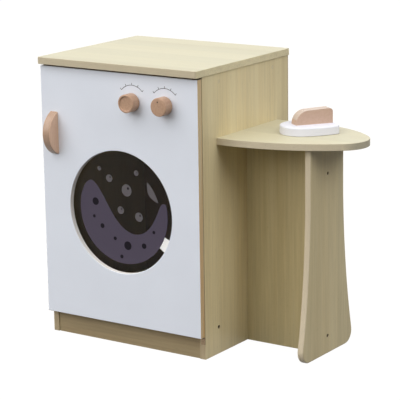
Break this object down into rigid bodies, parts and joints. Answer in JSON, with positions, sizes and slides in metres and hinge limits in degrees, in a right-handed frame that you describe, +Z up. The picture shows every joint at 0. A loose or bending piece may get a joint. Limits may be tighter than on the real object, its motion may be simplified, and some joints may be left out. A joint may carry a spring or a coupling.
{
  "type": "toy washing machine",
  "caption": "Toy washing machine of light-wood boards with a round-window door, turning knobs, a side ironing board on a flared leg and a toy iron.",
  "frame": {"origin": "centre of the whole part's footprint, on the floor", "axes": "+X to the right past the ironing board, -Y out of the front of the door, +Z up"},
  "size_m": [0.582, 0.328, 0.52],
  "materials": {
    "light_wood": "satin lacquered light-wood board, vertical grain",
    "top_wood": "satin lacquered pale board with fine grain",
    "hardboard": "bare brown hardboard",
    "dowel_wood": "bare fluted hardwood",
    "zinc_steel": "zinc-plated",
    "dark_steel": "dark browned steel",
    "white_plastic": "moulded nylon",
    "tan_plastic": "moulded, toned like the wood",
    "magnet_ceramic": "sintered ferrite magnet",
    "white_paint": "smooth white foil-faced board with a satin finish",
    "clear_pane": "clear flat acrylic",
    "print_film": "printed film, translucent purple-grey and clear",
    "beech_wood": "sanded pinkish beech, clear lacquer",
    "iron_white_paint": "satin white paint on wood"
  },
  "bodies": {
    "cabinet": {"left_side_panel": "light_wood", "right_side_panel": "light_wood", "bottom_board": "light_wood", "plinth_board": "light_wood", "front_top_rail": "light_wood", "back_top_rail": "light_wood", "back_panel": "hardboard", "back_panel_nails": "zinc_steel", "lid_board": "top_wood", "carcass_screws": "dark_steel", "rail_screw_caps": "tan_plastic", "carcass_dowels": "dowel_wood", "lid_screws": "zinc_steel", "ironing_board": "top_wood", "brace_panel": "light_wood", "leg_panel": "light_wood", "leg_screws": "dark_steel", "ironing_board_screws": "zinc_steel", "ironing_board_dowels": "dowel_wood", "top_pivot_pin": "zinc_steel", "bottom_pivot_pin": "zinc_steel", "bottom_pivot_bracket": "dark_steel", "pivot_bracket_screw": "zinc_steel", "magnet_catch_case": "white_plastic", "catch_magnet": "magnet_ceramic", "catch_pole_plates": "zinc_steel", "magnet_catch_screws": "zinc_steel"},
    "door": {"door_panel": "white_paint", "window_pane": "clear_pane", "window_print": "print_film", "window_film_tab": "white_plastic", "window_screws": "zinc_steel", "door_handle": "beech_wood", "handle_screws": "zinc_steel", "strike_plate": "zinc_steel", "strike_plate_screw": "zinc_steel", "top_pivot_bush": "white_plastic", "bottom_pivot_bush": "white_plastic", "left_knob_washer": "zinc_steel", "right_knob_washer": "zinc_steel"},
    "left_dial": {"left_knob": "beech_wood", "left_knob_screw": "zinc_steel"},
    "right_dial": {"right_knob": "beech_wood", "right_knob_screw": "zinc_steel"},
    "toy_iron": {"iron_sole": "iron_white_paint", "iron_handle": "beech_wood", "iron_screws": "zinc_steel"}
  },
  "joints": [
    {"name": "door_hinge", "type": "hinge", "parent": "cabinet", "child": "door", "pos_m": [0.04895, -0.131, 0.272], "axis": [0, 0, 1], "range_deg": [0, 180]},
    {"name": "left_knob_turn", "type": "hinge", "parent": "door", "child": "left_dial", "pos_m": [-0.08605, -0.1374, 0.454], "axis": [0, -1, 0], "continuous": true},
    {"name": "right_knob_turn", "type": "hinge", "parent": "door", "child": "right_dial", "pos_m": [-0.01605, -0.1374, 0.454], "axis": [0, -1, 0], "continuous": true},
    {"name": "iron_lift", "type": "slide", "parent": "cabinet", "child": "toy_iron", "axis": [0, 0, 1], "range_m": [0, 0.15]}
  ]
}
